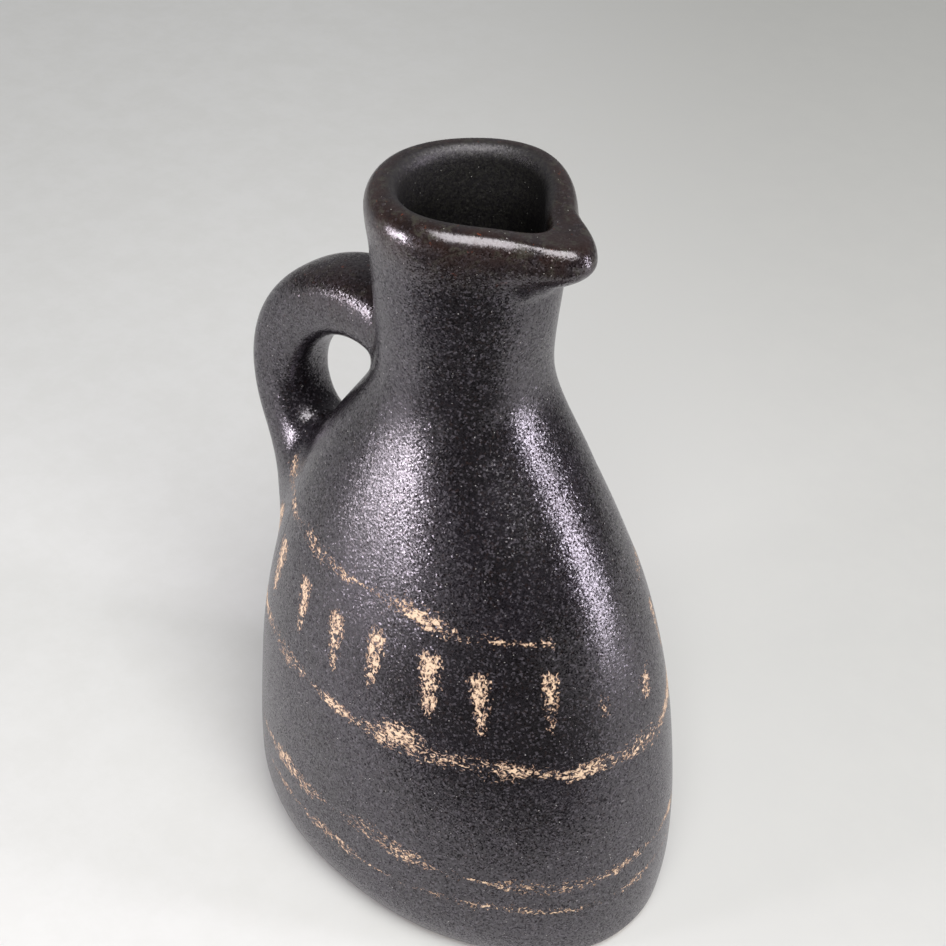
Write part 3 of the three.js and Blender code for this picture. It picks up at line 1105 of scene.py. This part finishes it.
glaze = make_glaze("satin_glaze")
foot_glaze = make_glaze("glaze_over_bare_foot", bare_foot=True)
for piece, node, slot, material in (
    (base, "base", "foot_clay", foot_glaze),
    (body, "body_wall", "glaze", glaze),
    (neck, "neck", "glaze", glaze),
    (handle, "handle", "glaze", glaze),
):
    give_values(piece, stroke=stroke_field, upright=upright_field, thin=thin_field, inside=inside_field)
    piece.data.materials.append(material)
    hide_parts(node)
    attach(piece, "root")


# Camera, at the photograph's viewing angle: radians and metres, with the lens in millimetres

CAMERA_AZIMUTH = 0.71947
CAMERA_ELEVATION = 0.64739
CAMERA_ROLL = 0.046917
CAMERA_DISTANCE = 0.404338
CAMERA_AIM = Vector((-0.001492, 0.000357, 0.101386))
CAMERA_LENS = 72.886
SENSOR_WIDTH = 36
CAMERA_CLIP = (0.01, 50)
RIGHT = Vector((math.cos(CAMERA_AZIMUTH), math.sin(CAMERA_AZIMUTH), 0))
AWAY = Vector((-RIGHT.y, RIGHT.x, 0))


def make_camera():
    back = Vector((0, 0, math.sin(CAMERA_ELEVATION))) - AWAY * math.cos(CAMERA_ELEVATION)
    up = back.cross(RIGHT)
    right = RIGHT * math.cos(CAMERA_ROLL) + up * math.sin(CAMERA_ROLL)
    top = up * math.cos(CAMERA_ROLL) - RIGHT * math.sin(CAMERA_ROLL)
    data = bpy.data.cameras.new("camera")
    data.lens = CAMERA_LENS
    data.sensor_width = SENSOR_WIDTH
    data.clip_start, data.clip_end = CAMERA_CLIP
    camera = bpy.data.objects.new("camera", data)
    turn = Matrix((right, top, back)).transposed().to_4x4()
    camera.matrix_world = Matrix.Translation(CAMERA_AIM + back * CAMERA_DISTANCE) @ turn
    bpy.context.scene.collection.objects.link(camera)
    bpy.context.scene.camera = camera


# Floor: pale, in metres, painted paler further back and with painted shade to the right.
# In reflections alone it is dark in front of the jug: a painted dark reflection.

FLOOR_SIZE = 60
FLOOR_ROUGHNESS = 0.85
# painted light: from FLOOR_NEAR to FLOOR_FAR the floor is painted paler further back
FLOOR_NEAR = colour(0.80, 0.80, 0.81)
FLOOR_FAR = colour(0.83, 0.83, 0.85)
FLOOR_PAINTED_LIGHT_FADE = (-0.15, 0.55)
# painted shade: the floor darker towards the camera's right
FLOOR_PAINTED_SHADE = colour(0.62, 0.62, 0.615)
FLOOR_PAINTED_SHADE_SPAN = (-0.10, 0.14)
FLOOR_PAINTED_SHADE_STRENGTH = 0.72
FLOOR_MOTTLED = colour(0.72, 0.72, 0.715)
FLOOR_MOTTLE = (60, 9, 0.75)
FLOOR_MOTTLE_SPAN = (0.35, 0.65)
FLOOR_MOTTLE_STRENGTH = 0.3
# painted dark reflection: what the glaze mirrors in front of the jug, seen in reflections alone
PAINTED_DARK_REFLECTION = colour(0.05, 0.05, 0.051)
DARK_REFLECTION_AZIMUTH = math.radians(-52)
DARK_REFLECTION_FRONT = Vector((math.cos(DARK_REFLECTION_AZIMUTH), math.sin(DARK_REFLECTION_AZIMUTH), 0))
DARK_REFLECTION_SIDE = Vector((-DARK_REFLECTION_FRONT.y, DARK_REFLECTION_FRONT.x, 0))
DARK_REFLECTION_START = (0.055, 0.14)
DARK_REFLECTION_HALF_WIDTH = (0.2, 0.34)


def painted_dark_reflection_share(tree, place):
    """1 on the painted dark reflection in front of the jug, in reflections, and 0 elsewhere and for the
    camera.
    """
    ahead = ranged(tree, distance_along(tree, place, DARK_REFLECTION_FRONT), *DARK_REFLECTION_START)
    aside = maths(tree, "ABSOLUTE", distance_along(tree, place, DARK_REFLECTION_SIDE))
    across = ranged(tree, aside, *DARK_REFLECTION_HALF_WIDTH, 1.0, 0.0)
    mirrored = add(tree, "LightPath").outputs["Is Glossy Ray"]
    return product(tree, product(tree, ahead, across), mirrored)


def make_floor_material():
    material, tree = new_material("studio_floor")
    place = object_place(tree)
    # painted light: the floor painted paler further back
    painted_light_fade = ranged(tree, distance_along(tree, place, AWAY), *FLOOR_PAINTED_LIGHT_FADE)
    tint = blended(tree, painted_light_fade, FLOOR_NEAR, FLOOR_FAR)
    # painted shade: darker towards the camera's right
    aside = distance_along(tree, place, RIGHT)
    shade = ranged(tree, aside, *FLOOR_PAINTED_SHADE_SPAN, 0.0, FLOOR_PAINTED_SHADE_STRENGTH)
    tint = blended(tree, shade, tint, FLOOR_PAINTED_SHADE)
    mottle = noise(tree, place, *FLOOR_MOTTLE)
    mottle = ranged(tree, mottle, *FLOOR_MOTTLE_SPAN, 0.0, FLOOR_MOTTLE_STRENGTH)
    tint = blended(tree, mottle, tint, FLOOR_MOTTLED)
    # painted dark reflection, in reflections alone
    tint = blended(tree, painted_dark_reflection_share(tree, place), tint, PAINTED_DARK_REFLECTION)
    surface(tree, add(tree, "BsdfPrincipled", {"Base Color": tint, "Roughness": FLOOR_ROUGHNESS}))
    return material


def make_floor():
    mesh = bpy.data.meshes.new("floor")
    half = FLOOR_SIZE / 2
    corners = [(-half, -half, 0), (half, -half, 0), (half, half, 0), (-half, half, 0)]
    mesh.from_pydata(corners, [], [(0, 1, 2, 3)])
    mesh.materials.append(make_floor_material())
    floor = bpy.data.objects.new("floor", mesh)
    bpy.context.scene.collection.objects.link(floor)


# Lamps: three low upright ones at the sides, and a wide one above

LAMP_AIM = Vector((0, 0, 0.1))
VIOLET_WHITE = (1.0, 0.94, 0.98)
COOL_WHITE = (0.98, 0.93, 1.0)
WARM_WHITE = (1.0, 1.0, 0.95)


def lamp(name, azimuth, elevation, distance, size, watts, tint, spread=180):
    """A soft rectangular lamp that faces the jug's shoulder. Its angles are in degrees."""
    way_round, way_up = math.radians(azimuth), math.radians(elevation)
    level = Vector((math.cos(way_round), math.sin(way_round), 0))
    way = level * math.cos(way_up) + Vector((0, 0, math.sin(way_up)))
    data = bpy.data.lights.new(name, "AREA")
    data.shape = "RECTANGLE"
    data.size, data.size_y = size
    data.energy = watts
    data.spread = math.radians(spread)
    data.color = tint
    light = bpy.data.objects.new(name, data)
    light.location = LAMP_AIM + way * distance
    light.rotation_mode = "QUATERNION"
    light.rotation_quaternion = way.to_track_quat("Z", "Y")
    bpy.context.scene.collection.objects.link(light)


# Room: dim, and brighter behind the jug. The camera alone sees a backdrop that gets paler upward.

ROOM_FRONT = colour(0.035, 0.035, 0.036)
ROOM_BACK = colour(0.22, 0.22, 0.224)
ROOM_SPAN = (-0.3, 0.9)
BACKDROP_FOOT = colour(0.075, 0.075, 0.076)
BACKDROP_TOP = colour(0.55, 0.55, 0.545)
BACKDROP_RISE = (0.0, 0.4)


def make_room():
    world = bpy.data.worlds.new("room")
    world.use_nodes = True
    tree = world.node_tree
    way = add(tree, "TexCoord").outputs["Generated"]
    behind = distance_along(tree, way, AWAY)
    shade = blended(tree, ranged(tree, behind, *ROOM_SPAN), ROOM_FRONT, ROOM_BACK)
    rise = ranged(tree, height_in(tree, way), *BACKDROP_RISE)
    backdrop = blended(tree, rise, BACKDROP_FOOT, BACKDROP_TOP)
    seen = add(tree, "LightPath").outputs["Is Camera Ray"]
    tree.links.new(blended(tree, seen, shade, backdrop), tree.nodes["Background"].inputs["Color"])
    bpy.context.scene.world = world


make_camera()
make_floor()
lamp("left_lamp", -112, 3, distance=0.55, size=(0.095, 0.18), watts=0.22, tint=VIOLET_WHITE, spread=70)
lamp("left_glow", -127, 2, distance=0.55, size=(0.14, 0.17), watts=0.15, tint=VIOLET_WHITE, spread=70)
lamp("right_lamp", 27, 10, distance=0.6, size=(0.10, 0.39), watts=0.50, tint=COOL_WHITE, spread=90)
lamp("top_lamp", -36, 57, distance=1.5, size=(1.2, 1.05), watts=27.5, tint=WARM_WHITE)
make_room()
bpy.context.scene.view_settings.view_transform = "Standard"
